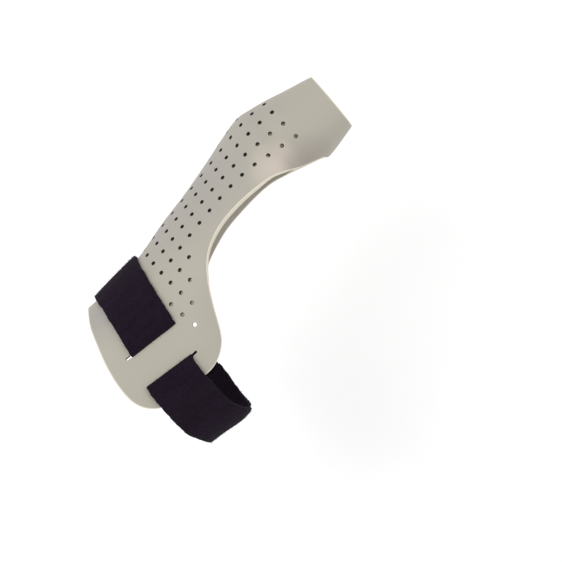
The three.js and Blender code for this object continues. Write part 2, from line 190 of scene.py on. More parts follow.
# Sections across the form. AT is X as a share of REACH. AXIS and LEVEL are the Y and Z of the section's
# middle as shares of TUBE_OFFSET. RADIAL, WEB, TOP and BOTTOM reach from it to the radial, web, dorsal and
# palmar sides, as shares of the size in OF. NOSE and CROWN are how full its dorsal face is.
SECTIONS = table(
    ("at", "of", "axis", "level", "radial", "web", "top", "bottom", "nose", "crown"),
    (
        (-0.24, CUFF_WIDTH, -0.028, 0, 0.468, 0.498, 0.294, 0.292, 0.55, 0.55),
        (0, CUFF_WIDTH, -0.028, 0, 0.5, 0.5, 0.3, 0.3, 0.55, 0.55),
        (0.13, CUFF_WIDTH, 0.01, 0, 0.52, 0.51, 0.306, 0.3, 0.5, 0.5),
        (0.264, GUTTER_WIDTH, 0.32, -0.08, 0.456, 0.6, 0.39, 0.353, 0.43, 0.45),
        (0.396, GUTTER_WIDTH, 0.4, -0.12, 0.471, 0.6, 0.404, 0.36, 0.4, 0.46),
        (0.528, GUTTER_WIDTH, 0.46, -0.15, 0.511, 0.6, 0.426, 0.36, 0.34, 0.46),
        (0.616, GUTTER_WIDTH, 0.48, -0.14, 0.554, 0.5, 0.404, 0.35, 0.33, 0.45),
        (0.695, TUBE_DIAMETER, 0.62, -0.09, 1.465, 0.9, 0.86, 0.85, 0.5, 0.54),
        (0.752, TUBE_DIAMETER, 0.93, -0.07, 0.876, 0.7, 0.632, 0.68, 0.55, 0.55),
        (0.81, TUBE_DIAMETER, 1, -0.06, 0.716, 0.735, 0.598, 0.61, 0.55, 0.55),
        (0.88, TUBE_DIAMETER, 0.975, -0.055, 0.707, 0.667, 0.577, 0.577, 0.55, 0.55),
        (1.02, TUBE_DIAMETER, 1, -0.05, 0.56, 0.5, 0.5, 0.5, 0.55, 0.55),
    ),
)
SECTIONS |= {side: SECTIONS[side] * SECTIONS["of"] for side in ("radial", "web", "top", "bottom")}

# Free edges of the sheet: Y of its dorsal and palmar borders as shares of TUBE_OFFSET, down to the web.
EDGES = table(
    ("at", "dorsal", "palmar"),
    (
        (-0.24, -0.336, 0.18),
        (0.075, -0.336, 0.18),
        (0.12, -0.317, 0.19),
        (0.165, -0.253, 0.22),
        (0.207, -0.124, 0.28),
        (0.232, 0.06, 0.33),
        (0.266, 0.276, 0.4),
        (0.309, 0.471, 0.49),
        (0.355, 0.593, 0.56),
        (0.433, 0.699, 0.65),
        (0.53, 0.756, 0.71),
        (0.61, 0.772, 0.74),
        (0.684, 0.766, 0.74),
        (0.774, 0.685, 0.68),
        (0.83, 0.655, 0.652),
        (0.86, 0.635, 0.634),
        (WEB_AT, 0.6, 0.6),
    ),
)

# The plate's proximal border. AT is Y as a share of TUBE_OFFSET. DORSAL and PALMAR are how far the border
# is set in there, as shares of CUFF.
BORDER = table(
    ("at", "dorsal", "palmar"),
    (
        (-0.34, 0.37, 0.62),
        (-0.315, 0.27, 0.62),
        (-0.25, 0.14, 0.62),
        (-0.147, 0.04, 0.6),
        (0.037, 0, 0.62),
        (0.267, 0.036, 0.56),
        (0.506, 0.136, 0.44),
        (0.657, 0.218, 0.4),
        (0.8, 0.37, 0.38),
    ),
)

# Y of perforation column 0 as a share of TUBE_OFFSET, at X as a share of REACH.
FIRST_HOLES = table(
    ("at", "y"),
    (
        (0.11, 0.85),
        (0.163, 0.878),
        (0.265, 0.949),
        (0.42, 1.062),
        (0.53, 1.136),
        (0.64, 1.2),
        (0.752, 1.246),
        (0.82, 1.257),
    ),
)

# X of the strap's middle line as a share of its width, at S as a share of the whole girth.
DRIFT = table(
    ("at", "x"),
    (
        (-0.5, 0.22),
        (-0.25, 0.16),
        (0, 0.118),
        (0.196, 0.014),
        (0.273, -0.1),
        (0.36, -0.07),
        (0.41, -0.01),
        (0.455, 0.14),
        (0.5, 0.22),
        (0.67, 0.2),
    ),
)


def between(rows, name, at):
    """A column of a table at places between its rows, on a smooth curve through them."""
    place, value = rows["at"], rows[name]
    last = len(place) - 1
    at = np.asarray(at, float)
    i = np.clip(np.searchsorted(place, at) - 1, 0, last - 1)
    low = np.maximum(np.arange(last + 1) - 1, 0)
    high = np.minimum(np.arange(last + 1) + 1, last)
    slope = (value[high] - value[low]) / (place[high] - place[low])
    span = place[i + 1] - place[i]
    t = np.clip((at - place[i]) / span, 0, 1)
    rest = 1 - t
    return (
        (1 + 2 * t) * rest * rest * value[i]
        + t * rest * rest * span * slope[i]
        + t * t * (3 - 2 * t) * value[i + 1]
        - t * t * rest * span * slope[i + 1]
    )


def surface(x, turn):
    """Places on the outer face. Turn 0 is the radial side, 1 dorsal, -1 palmar, and 2 or -2 the web."""
    x, turn = np.broadcast_arrays(np.asarray(x, float), np.asarray(turn, float))
    at = x / REACH
    wrapped = np.mod(turn + HALF_TURN, WHOLE_TURN) - HALF_TURN
    side = np.abs(wrapped)
    below = wrapped < 0
    on_web = side > 1
    height = np.where(below, -between(SECTIONS, "bottom", at), between(SECTIONS, "top", at))
    breadth = np.where(on_web, -between(SECTIONS, "web", at), between(SECTIONS, "radial", at))
    plain = on_web | below
    nose = np.where(plain, ROUND, between(SECTIONS, "nose", at))
    crown = np.where(plain, ROUND, between(SECTIONS, "crown", at))
    t = np.where(on_web, HALF_TURN - side, side)
    rest = 1 - t
    across = rest**3 + 3 * rest * rest * t + 3 * rest * t * t * crown
    up = 3 * rest * rest * t * nose + 3 * rest * t * t + t**3
    y = between(SECTIONS, "axis", at) * TUBE_OFFSET + breadth * across
    z = between(SECTIONS, "level", at) * TUBE_OFFSET + height * up
    return np.stack((x, y, z), -1)


def normal_at(x, turn):
    """The outer face's outward normals."""
    along = surface(x + STEP, turn) - surface(x - STEP, turn)
    around = surface(x, turn + TURN_STEP) - surface(x, turn - TURN_STEP)
    normal = np.cross(around, along)
    return normal / np.linalg.norm(normal, axis=-1, keepdims=True)


def turn_at_y(x, y, side):
    """The turn at which the outer face has a given Y, on the dorsal side (1) or the palmar side (-1)."""
    low, high = np.zeros(np.shape(x)), np.full(np.shape(x), float(HALF_TURN))
    for _ in range(BISECTIONS):
        middle = (low + high) / 2
        short = surface(x, side * middle)[..., 1] > y
        low, high = np.where(short, middle, low), np.where(short, high, middle)
    return side * (low + high) / 2


def girth_at(x):
    """Lengths round the outer face at each X, from the radial side, at even steps of the turn."""
    ring = surface(np.asarray(x, float)[..., None], GIRTH_TURNS)
    steps = np.linalg.norm(np.diff(ring, axis=-2), axis=-1)
    lengths = np.concatenate((np.zeros(steps.shape[:-1] + (1,)), np.cumsum(steps, -1)), -1)
    return lengths - lengths[..., GIRTH_STEPS // 2, None]


def strap_girth():
    """Length round the outer face where the strap lies."""
    girth = girth_at(0.0)
    return girth[-1] - girth[0]


def turn_at_length(x, s):
    """The turns at S, which may go round the form more than once."""
    x, s = np.broadcast_arrays(np.asarray(x, float), np.asarray(s, float))
    girths = girth_at(x.ravel())
    turns = []
    for lengths, length in zip(girths, s.ravel()):
        whole = lengths[-1] - lengths[0]
        wraps = math.floor((length - lengths[0]) / whole)
        turns.append(np.interp(length - wraps * whole, lengths, GIRTH_TURNS) + WHOLE_TURN * wraps)
    return np.array(turns).reshape(x.shape)


def length_at_turn(x, turn):
    """S at each turn."""
    x, turn = np.broadcast_arrays(np.asarray(x, float), np.asarray(turn, float))
    girths = girth_at(x.ravel())
    lengths = [np.interp(t, GIRTH_TURNS, row) for row, t in zip(girths, turn.ravel())]
    return np.array(lengths).reshape(x.shape)


def on_form(x, s, d, at=None):
    """Places given flat, bent onto the form, with S measured at X or at one place for all."""
    turn = turn_at_length(x if at is None else at, s)
    return surface(x, turn) + normal_at(x, turn) * np.asarray(d, float)[..., None]


def on_sheet(x, y):
    """A place on the sheet's dorsal outer face, in metres, from its X and Y in mm."""
    return tuple(float(v) * MM for v in surface(float(x), turn_at_y(float(x), float(y), 1)))


def edge_turn(x, side):
    """The turn of the sheet's free edge on the dorsal side (1) or the palmar side (-1)."""
    at = np.asarray(x, float) / REACH
    y = between(EDGES, "dorsal" if side > 0 else "palmar", at) * TUBE_OFFSET
    return np.where(at >= WEB_AT, float(HALF_TURN * side), turn_at_y(x, y, side))


def edge_length(x, side):
    """S of the sheet's free edge at each X, on each side."""
    return np.where(side > 0, length_at_turn(x, edge_turn(x, 1)), length_at_turn(x, edge_turn(x, -1)))


def slit_lengths():
    """S of the two slits, the radial one first."""
    ys = (SLIT_CENTRE[1] + SLIT_SPACING / 2, SLIT_CENTRE[1] - SLIT_SPACING / 2)
    return [float(length_at_turn(0, turn_at_y(0.0, y, 1))) for y in ys]


def strap_drift(s, whole, width):
    """X of the strap's middle line, which drifts along the form as it winds round."""
    return width * between(DRIFT, "x", s / whole)


def hole_places():
    """X and S of each perforation: a square grid, a little stretched, inside a plain border."""
    xs = np.linspace(0, WEB_AT * REACH, BORDER_SAMPLES)
    border = np.concatenate([surface(xs, edge_turn(xs, side)) for side in (1, -1)])
    places = []
    for row in range(ROW_COUNT):
        straight = ROW_START + ROW_PITCH * row + ROW_STRETCH * row * row
        last = TUBE_COLUMN if straight > TUBE_START * REACH else LAST_COLUMN
        pitch = HOLE_PITCH * (1 + HOLE_SPREAD * (straight / REACH / TUBE_MIDDLE) ** SPREAD_POWER)
        for column in range(FIRST_COLUMN, last + 1):
            swing = ROW_SWING * column * (straight / REACH) ** SWING_POWER
            x = straight + ROW_BOW * column * column + swing
            first = turn_at_y(x, between(FIRST_HOLES, "y", x / REACH) * TUBE_OFFSET, 1)
            s = float(length_at_turn(x, first)) + column * pitch
            turn = float(turn_at_length(x, s))
            gap = np.linalg.norm(border - surface(x, turn), axis=1).min()
            inside = edge_turn(x, -1) < turn < edge_turn(x, 1)
            if gap > HOLE_MARGIN and inside and x > STRAP_SHADOW:
                places.append((x, s))
    return places


class Socket:
    """A value in a material's nodes, so that sums on it read as sums."""

    def __init__(self, finish, output):
        self.finish, self.output = finish, output

    def maths(self, operation, *values, clamp=False):
        """A sum of numbers and sockets, as a Math node."""
        return self.finish.add("ShaderNodeMath", {"operation": operation, "use_clamp": clamp}, *values)

    def __add__(self, other):
        return self.maths("ADD", self, other)

    def __sub__(self, other):
        return self.maths("SUBTRACT", self, other)

    def __rsub__(self, other):
        return self.maths("SUBTRACT", other, self)

    def __mul__(self, other):
        return self.maths("MULTIPLY", self, other)

    __radd__, __rmul__ = __add__, __mul__

    def clipped(self):
        """The same value kept from 0 to 1."""
        return self.maths("ADD", self, 0, clamp=True)


class Finish:
    """A material and its nodes."""

    def __init__(self, name):
        self.material = bpy.data.materials.new(name)
        self.material.use_nodes = True
        self.tree = self.material.node_tree
        self.shader = next(n for n in self.tree.nodes if n.type == "BSDF_PRINCIPLED")

    def link(self, socket, value):
        """Sets a socket to a number or colour, or links another socket to it."""
        if isinstance(value, Socket):
            self.tree.links.new(value.output, socket)
        else:
            socket.default_value = value

    def add(self, kind, settings, *values, out=None, **named):
        """Adds a node, with its settings first and then the values or links of its sockets in use."""
        node = self.tree.nodes.new(kind)
        for key, value in settings.items():
            setattr(node, key, value)
        for socket, value in zip([s for s in node.inputs if s.enabled], values):
            self.link(socket, value)
        for key, value in named.items():
            self.link(node.inputs[key.replace("_", " ")], value)
        return Socket(self, node.outputs[out] if out else next(s for s in node.outputs if s.enabled))

    def mix(self, factor, a, b):
        """Colour A where the factor is 0 and colour B where it is 1."""
        return self.add("ShaderNodeMix", {"data_type": "RGBA", "clamp_factor": True}, factor, a, b)

    def place(self):
        """The place on the piece, in metres."""
        return self.add("ShaderNodeTexCoord", {}, out="Object")

    def noise(self, scale, detail=3.0, rough=0.55, where=None):
        """Cloudy noise, the finer the larger its scale."""
        return self.add(
            "ShaderNodeTexNoise", {}, Vector=where or self.place(), Scale=scale, Detail=detail,
            Roughness=rough,
        )

    def near(self, centre, radius):
        """1 at a place on the piece and 0 beyond a radius from it, in metres."""
        away = self.add("ShaderNodeVectorMath", {"operation": "DISTANCE"}, self.place(), centre)
        return (1 - away * (1 / radius)).clipped()

    def bump(self, height, strength, distance):
        """Fine relief that only the light sees."""
        return self.add("ShaderNodeBump", {}, Height=height, Strength=strength, Distance=distance)

    def set(self, **sockets):
        """Fills the shader's own sockets and gives the material."""
        for key, value in sockets.items():
            self.link(self.shader.inputs[key.replace("_", " ")], value)
        return self.material


def toned(colour, share):
    """A colour made darker or paler."""
    return tuple(share * part for part in colour[:3]) + (1,)


def moulded_plastic(sizes):
    """Matte splinting sheet: a faint mottle and orange peel, with a paler patch and with greyer and darker
    patches of painted shade.
    """
    finish = Finish("splinting plastic")
    mottle = finish.noise(scale=55.0, detail=4.0)
    cloud = finish.noise(scale=14.0, detail=2.0)
    uneven = finish.noise(scale=26.0) * 0.6 + 0.7
    base = finish.mix((mottle - 0.35) * 1.2, toned(sizes.colour, 0.95), sizes.colour)
    base = finish.mix(cloud * 0.3, base, sizes.warm)
    toned_patches = ((RADIAL_SHADE_PATCHES, sizes.radial_shade), (LIGHT_PATCHES, sizes.light), (WEB_CORNER_SHADE_PATCHES, sizes.web_corner_shade))
    # Painted shade: greyer along the radial side and darker in the web corner. The paler patch by the web is
    # mixed in the same way.
    for patches, tone in toned_patches:
        for x, y, reach, strength in patches:
            base = finish.mix(finish.near(on_sheet(x, y), reach * MM) * uneven * strength, base, tone)
    peel = finish.noise(scale=900.0, detail=2.0)
    dimple = finish.noise(scale=210.0, detail=2.0)
    relief = finish.bump(peel * 0.4 + dimple * 0.6, strength=0.22, distance=0.0006)
    return finish.set(
        Base_Color=base, Roughness=0.5 + mottle * 0.16, Normal=relief, Specular_IOR_Level=0.38
    )


def cut_edge_and_highlight(colour):
    """The pale trimmed edge of the sheet, partly its own paler tone and partly a painted highlight along the
    rounded edge.
    """
    finish = Finish("trimmed edge")
    base = finish.mix(finish.noise(scale=180.0), toned(colour, 0.86), colour)
    relief = finish.bump(finish.noise(scale=700.0), strength=0.2, distance=0.0004)
    return finish.set(Base_Color=base, Roughness=0.6, Normal=relief)


def bore_painted_shade(colour):
    """Painted shade inside a perforation or slit: a dark wall in place of the shade within it."""
    finish = Finish("perforation painted shade")
    base = finish.mix(finish.noise(scale=400.0), toned(colour, 0.7), colour)
    return finish.set(Base_Color=base, Roughness=0.8)


def loop_pile(colour, cast):
    """Brushed black loop pile with a faint purple cast, combed into soft ribs across the strap."""
    finish = Finish("loop pile")
    tufts = finish.noise(scale=1300.0, rough=0.7)
    drift = finish.noise(scale=120.0)
    combed = finish.add("ShaderNodeMapping", {}, finish.place(), Scale=(90, 420, 420))
    ribs = finish.noise(scale=1.0, detail=4.0, rough=0.6, where=combed)
    base = finish.mix((drift * 0.7 + ribs * 0.6) * 1.3 - 0.2, colour, cast)
    base = finish.mix((tufts + ribs * 0.5 - 0.62) * 1.6, base, toned(cast, 2.1))
    relief = finish.bump(tufts * 0.6 + drift * 0.2 + ribs * 0.6, strength=1.0, distance=0.0011)
    return finish.set(
        Base_Color=base, Roughness=0.92, Normal=relief, Specular_IOR_Level=0.1,
        Sheen_Weight=0.03, Sheen_Roughness=0.5, Sheen_Tint=(0.62, 0.5, 0.75, 1),
    )


def hook_tape(colour):
    """Moulded hook tape, in rows."""
    finish = Finish("hook tape")
    rows = finish.add(
        "ShaderNodeTexWave", {"bands_direction": "X"}, out="Fac", Vector=finish.place(), Scale=320.0,
        Distortion=0.4,
    )
    relief = finish.bump(rows, strength=0.7, distance=0.0006)
    return finish.set(Base_Color=finish.mix(rows, colour, toned(colour, 2.2)), Roughness=0.6, Normal=relief)


def pale_floor():
    """A matt, nearly white floor that glows a little."""
    finish = Finish("floor")
    tone = finish.mix(finish.noise(scale=3.0), toned(WHITE, 0.88), toned(WHITE, 0.92))
    return finish.set(Base_Color=tone, Roughness=0.9, Emission_Color=WHITE, Emission_Strength=FLOOR_GLOW)


def new_piece(name, bm, *materials):
    """A mesh piece from a bmesh in mm, at the origin and in metres."""
    bmesh.ops.scale(bm, verts=bm.verts, vec=(MM, MM, MM))
    mesh = bpy.data.meshes.new(name)
    bm.to_mesh(mesh)
    bm.free()
    piece = bpy.data.objects.new(name, mesh)
    bpy.context.scene.collection.objects.link(piece)
    for material in materials:
        mesh.materials.append(material)
    return piece


def modifier(piece, kind, **settings):
    """Adds a modifier to a piece."""
    added = piece.modifiers.new(kind.title(), kind)
    for key, value in settings.items():
        setattr(added, key, value)
    return added


def bake_modifiers(piece, smooth_angle=180):
    """Applies the modifiers and shades the piece smooth, apart from its sharp edges."""
    shaped = piece.evaluated_get(bpy.context.evaluated_depsgraph_get())
    mesh = bpy.data.meshes.new_from_object(shaped)
    piece.modifiers.clear()
    piece.data = mesh
    mesh.shade_smooth()
    mesh.set_sharp_from_angle(angle=math.radians(smooth_angle))
    return mesh


def bend(bm, at=None):
    """Bends a flat bmesh, with X along the form, Y as S and Z as D, onto the form."""
    bm.verts.ensure_lookup_table()
    flat = np.array([v.co for v in bm.verts])
    bent = on_form(flat[:, 0], flat[:, 1], flat[:, 2], None if at is None else np.full(len(flat), float(at)))
    for vert, place in zip(bm.verts, bent):
        vert.co = place


def long_edges(bm, axis):
    """The edges of a bmesh of size 1 that run along an axis."""
    ends = [(edge, edge.verts[0].co[axis], edge.verts[1].co[axis]) for edge in bm.edges]
    return [edge for edge, first, last in ends if abs(first - last) > 1 / 2]


def flat_sheet():
    """The sheet cut flat: a grid from edge to edge and from the border to the rim."""
    bm = bmesh.new()
    bmesh.ops.create_grid(bm, x_segments=SHEET_ROWS, y_segments=SHEET_COLUMNS, size=1)
    grid = np.array([((v.co.x + 1) / 2, v.co.y) for v in bm.verts])
    along, across = grid[:, 0], grid[:, 1]
    web = WEB_AT * REACH
    early = np.clip(along / OPEN_SHARE, 0, 1)
    late = np.clip((along - OPEN_SHARE) / (1 - OPEN_SHARE), 0, 1)
    station = np.where(
        along < OPEN_SHARE,
        web - (web + CUFF) * (1 - early) ** ROW_CROWDING,
        web + (REACH - web) * late,
    )
    side = np.where(across < 0, -1, 1)
    y = surface(station, turn_at_length(station, np.abs(across) * edge_length(station, side)))[:, 1]
    fade = np.clip((BORDER_FADE - station) / (BORDER_FADE + CUFF), 0, 1)
    dorsal, palmar = (between(BORDER, name, y / TUBE_OFFSET) for name in ("dorsal", "palmar"))
    rim = np.clip((station - web) / (REACH - web), 0, 1)
    x = station + CUFF * fade * np.where(side > 0, dorsal, palmar) + RIM_LEAN * rim * (TUBE_OFFSET - y)
    s = np.abs(across) * edge_length(x, side)
    for vert, vert_x, vert_s in zip(bm.verts, x, s):
        vert.co = (vert_x, vert_s, 0)
    bmesh.ops.reverse_faces(bm, faces=bm.faces)
    return bm


def round_rim(piece, offset):
    """Rounds the sheet's two long corners in the trimmed edge's finish, whose pale tone is partly a painted
    highlight.
    """
    bm = bmesh.new()
    bm.from_mesh(piece.data)
    meeting = {FACE_FINISH, EDGE_AND_HIGHLIGHT_FINISH}
    corners = [e for e in bm.edges if {f.material_index for f in e.link_faces} == meeting]
    bmesh.ops.bevel(
        bm, geom=corners, offset=offset, offset_type="OFFSET", segments=ROUND_STEPS, profile=0.5,
        affect="EDGES", material=EDGE_AND_HIGHLIGHT_FINISH,
    )
    bm.to_mesh(piece.data)
    bm.free()


def add_bmesh(whole, piece):
    """Adds a bmesh's faces to another and frees it."""
    mesh = bpy.data.meshes.new("piece")
    piece.to_mesh(mesh)
    piece.free()
    whole.from_mesh(mesh)
    bpy.data.meshes.remove(mesh)


def slit_block(s, sizes, strap_width):
    """A flat block that cuts one slit: wide where the strap fills it and narrow past the strap's edges."""
    wall, length = sizes.wall / MM, sizes.slit_length / MM
    middle = float(strap_drift(s, strap_girth(), strap_width))
    reach = strap_width / 2 + SLIT_SLACK
    start, end = SLIT_CENTRE[0] - length / 2, SLIT_CENTRE[0] + length / 2
    low, high = max(middle - reach, start + SLIT_STEP), min(middle + reach, end - SLIT_STEP)
    stations = (start, low - SLIT_STEP / 2, low, high, high + SLIT_STEP / 2, end)
    bm = bmesh.new()
    bmesh.ops.create_cube(bm, size=1)
    bmesh.ops.subdivide_edges(bm, edges=long_edges(bm, 0), cuts=len(stations) - 2, use_grid_fill=True)
    for vert in bm.verts:
        station = stations[round((vert.co.x + 1 / 2) * (len(stations) - 1))]
        width = (sizes.slit_width if low <= station <= high else sizes.slit_end) / MM
        vert.co = (station, s + vert.co.y * width, vert.co.z * SLIT_DEPTH * wall - wall / 2)
    return bm


def cutting_pieces(sizes, strap_width, materials):
    """Two thin blocks that cut the slits and a pin for each perforation, all square to the sheet."""
    wall = sizes.wall / MM
    bm = bmesh.new()
    for s in slit_lengths():
        add_bmesh(bm, slit_block(s, sizes, strap_width))
    bend(bm, 0)
    flat = np.array(hole_places())
    middles = on_form(flat[:, 0], flat[:, 1], np.full(len(flat), -wall / 2))
    normals = normal_at(flat[:, 0], turn_at_length(flat[:, 0], flat[:, 1]))
    radius = sizes.hole_diameter / MM / 2
    for middle, normal in zip(middles, normals):
        square = Vector(normal).to_track_quat("Z", "Y").to_matrix().to_4x4()
        bmesh.ops.create_cone(
            bm, segments=HOLE_SIDES, radius1=radius, radius2=radius, depth=2 * wall, cap_ends=True,
            matrix=Matrix.Translation(middle) @ square,
        )
    bmesh.ops.recalc_face_normals(bm, faces=bm.faces)
    # Every cutter face takes the painted shade finish, so the walls it leaves in the perforations and slits
    # are painted dark.
    for face in bm.faces:
        face.material_index = BORE_SHADE_FINISH
    return new_piece("cutting_pieces", bm, *materials)


class StrapLine:
    """The strap's middle line, flat: S round the form and D over the sheet, both in mm."""

    def __init__(self, sizes, wall):
        self.half = sizes.thickness / MM / 2
        self.whole = strap_girth()
        self.over = sizes.clearance / MM + self.half
        self.under = -wall - self.over
        self.inmost = -wall + self.half
        self.on_hook = self.inmost + sizes.hook_thickness / MM + 2 * (sizes.layer_gap / MM + self.half)
        self.dorsal_edge = float(length_at_turn(0.0, edge_turn(0.0, 1)))
        self.palmar_edge = float(length_at_turn(0.0, edge_turn(0.0, -1)))

    def arc(self, centre, start, end):
        """A turn over a slit's edge, with its angles in degrees."""
        radius = BEND_RADIUS + self.half
        angles = np.radians(np.linspace(start, end, ARC_STEPS))
        return [(centre[0] + radius * math.cos(a), centre[1] + radius * math.sin(a)) for a in angles]

    def points(self):
        """Close, even points along the line, from the inner end to the outer end."""
        upper, lower = slit_lengths()
        radius = BEND_RADIUS + self.half
        rise = self.over - self.inmost
        line = [(self.whole - INNER_END, self.inmost)]
        for t in np.linspace(0, 1, EASE_POINTS):
            line.append((self.dorsal_edge + STEP_DOWN * (1 - t), self.inmost + rise * t * t * (3 - 2 * t)))
        line += self.arc((lower + radius, self.over - radius), 90, 180)
        line += self.arc((lower - radius, self.under + radius), 0, -90)
        line += self.arc((upper + radius, self.under + radius), -90, -180)
        line += self.arc((upper - radius, self.over - radius), 0, 90)
        line.append((self.palmar_edge, self.over))
        line.append((STEP_DOWN / 2 - INNER_END, self.on_hook))
        line.append((-OUTER_END, self.on_hook))
        line = np.array(line)
        close = [line[0]]
        for a, b in zip(line, line[1:]):
            steps = max(1, math.ceil(np.linalg.norm(b - a) / STRAP_STEP))
            close += [a + (b - a) * k / steps for k in range(1, steps + 1)]
        close = np.array(close)
        apart = np.linalg.norm(np.diff(close, axis=0), axis=1) > STRAP_MERGE
        return close[np.concatenate(([True], apart))]


def ragged(along, seed):
    """A small wander of the strap's edges with the length along it, in mm."""
    rng = random.Random(seed)
    waves = [
        (rng.uniform(*WAVE_RATES), rng.uniform(0, math.tau), rng.uniform(*WAVE_SIZES)) for _ in range(WAVES)
    ]
    return sum(size * np.sin(rate * along + phase) for rate, phase, size in waves)


def strap_body(sizes, wall):
    """The strap's middle sheet as a grid, bent onto the form."""
    strap = StrapLine(sizes, wall)
    line = strap.points()
    width = sizes.width / MM
    lengths = np.concatenate(([0], np.cumsum(np.linalg.norm(np.diff(line, axis=0), axis=1))))
    bm = bmesh.new()
    bmesh.ops.create_grid(bm, x_segments=len(line) - 1, y_segments=STRAP_RIBS, size=1)
    grid = np.array([v.co for v in bm.verts])
    row = np.rint((grid[:, 0] + 1) / 2 * (len(line) - 1)).astype(int)
    across = grid[:, 1]
    s, d = line[row, 0], line[row, 1]
    wander = np.where(across > 0, ragged(lengths[row], DISTAL_SEED), ragged(lengths[row], PROXIMAL_SEED))
    swell = np.exp(-((s / SWELL_LENGTH) ** 2))
    x = strap_drift(s, strap.whole, width) + across * width / 2 * (1 + SWELL_WIDTH * swell)
    x += wander * across**4
    d += SWELL_RISE * swell * (1 - across**2)
    for vert, place in zip(bm.verts, zip(x, s, d)):
        vert.co = place
    bend(bm, 0)
    return bm


def hook_body(sizes, wall):
    """The patch of hook tape, bent between the strap's two ends."""
    strap = StrapLine(sizes, wall)
    thick = sizes.hook_thickness / MM
    middle = -(INNER_END + OUTER_END) / 2
    level = strap.inmost + strap.half + sizes.layer_gap / MM + thick / 2
    bm = bmesh.new()
    bmesh.ops.create_cube(bm, size=1)
    bmesh.ops.subdivide_edges(bm, edges=long_edges(bm, 1), cuts=HOOK_CUTS, use_grid_fill=True)
    bmesh.ops.scale(bm, verts=bm.verts, vec=(HOOK_WIDTH, HOOK_LENGTH, thick))
    x = float(strap_drift(middle, strap.whole, sizes.width / MM))
    bmesh.ops.translate(bm, verts=bm.verts, vec=(x, middle, level))
    bend(bm, 0)
    bmesh.ops.recalc_face_normals(bm, faces=bm.faces)
    return bm


def new_fibre(material):
    """One loose loop of the pile: a thin bent tuft, 1 mm tall."""
    bm = bmesh.new()
    bmesh.ops.create_cone(
        bm, segments=FIBRE_SIDES, radius1=FIBRE_ROOT, radius2=FIBRE_TIP, depth=1.0, cap_ends=True
    )
    bmesh.ops.subdivide_edges(bm, edges=long_edges(bm, 2), cuts=FIBRE_CUTS)
    for vert in bm.verts:
        height = vert.co.z + 1 / 2
        vert.co = (vert.co.x + FIBRE_BOW * height * height, vert.co.y, height)
    return new_piece("fibre", bm, material)


def scatter(target, fibre, count, area, seed):
    """Geometry nodes that set fibres on a piece's faces and make them one mesh."""
    group = bpy.data.node_groups.new("pile", "GeometryNodeTree")
    group.interface.new_socket("Geometry", in_out="INPUT", socket_type="NodeSocketGeometry")
    group.interface.new_socket("Geometry", in_out="OUTPUT", socket_type="NodeSocketGeometry")

    def node(kind, settings=None, **inputs):
        """Adds a node and fills its sockets in use."""
        made = group.nodes.new(kind)
        for key, value in (settings or {}).items():
            setattr(made, key, value)
        for key, value in inputs.items():
            socket = next(s for s in made.inputs if s.enabled and s.name == key.replace("_", " "))
            if isinstance(value, bpy.types.NodeSocket):
                group.links.new(value, socket)
            else:
                socket.default_value = value
        return made

    def result(made):
        """A node's first output in use."""
        return next(s for s in made.outputs if s.enabled)

    source = node("NodeGroupInput")
    spread = node("GeometryNodeDistributePointsOnFaces", Mesh=result(source), Density=count / area, Seed=seed)
    tuft = node("GeometryNodeObjectInfo", Object=fibre)
    lean = node(
        "FunctionNodeRandomValue", {"data_type": "FLOAT_VECTOR"},
        Min=(-FIBRE_LEAN, -FIBRE_LEAN, 0), Max=(FIBRE_LEAN, FIBRE_LEAN, math.tau),
    )
    size = node("FunctionNodeRandomValue", {"data_type": "FLOAT"}, Min=FIBRE_SIZES[0], Max=FIBRE_SIZES[1])
    turn = node(
        "FunctionNodeRotateRotation", {"rotation_space": "LOCAL"},
        Rotation=spread.outputs["Rotation"], Rotate_By=result(lean),
    )
    copies = node(
        "GeometryNodeInstanceOnPoints", Points=spread.outputs["Points"], Instance=tuft.outputs["Geometry"],
        Rotation=result(turn), Scale=result(size),
    )
    real = node("GeometryNodeRealizeInstances", Geometry=result(copies))
    node("NodeGroupOutput", Geometry=result(real))
    added = target.modifiers.new("Pile", "NODES")
    added.node_group = group


def shining(place, aim):
    """A light's matrix, from its place and the place that it shines at."""
    way = Vector(aim) - Vector(place)
    return Matrix.Translation(place) @ way.to_track_quat("-Z", "Y").to_matrix().to_4x4()


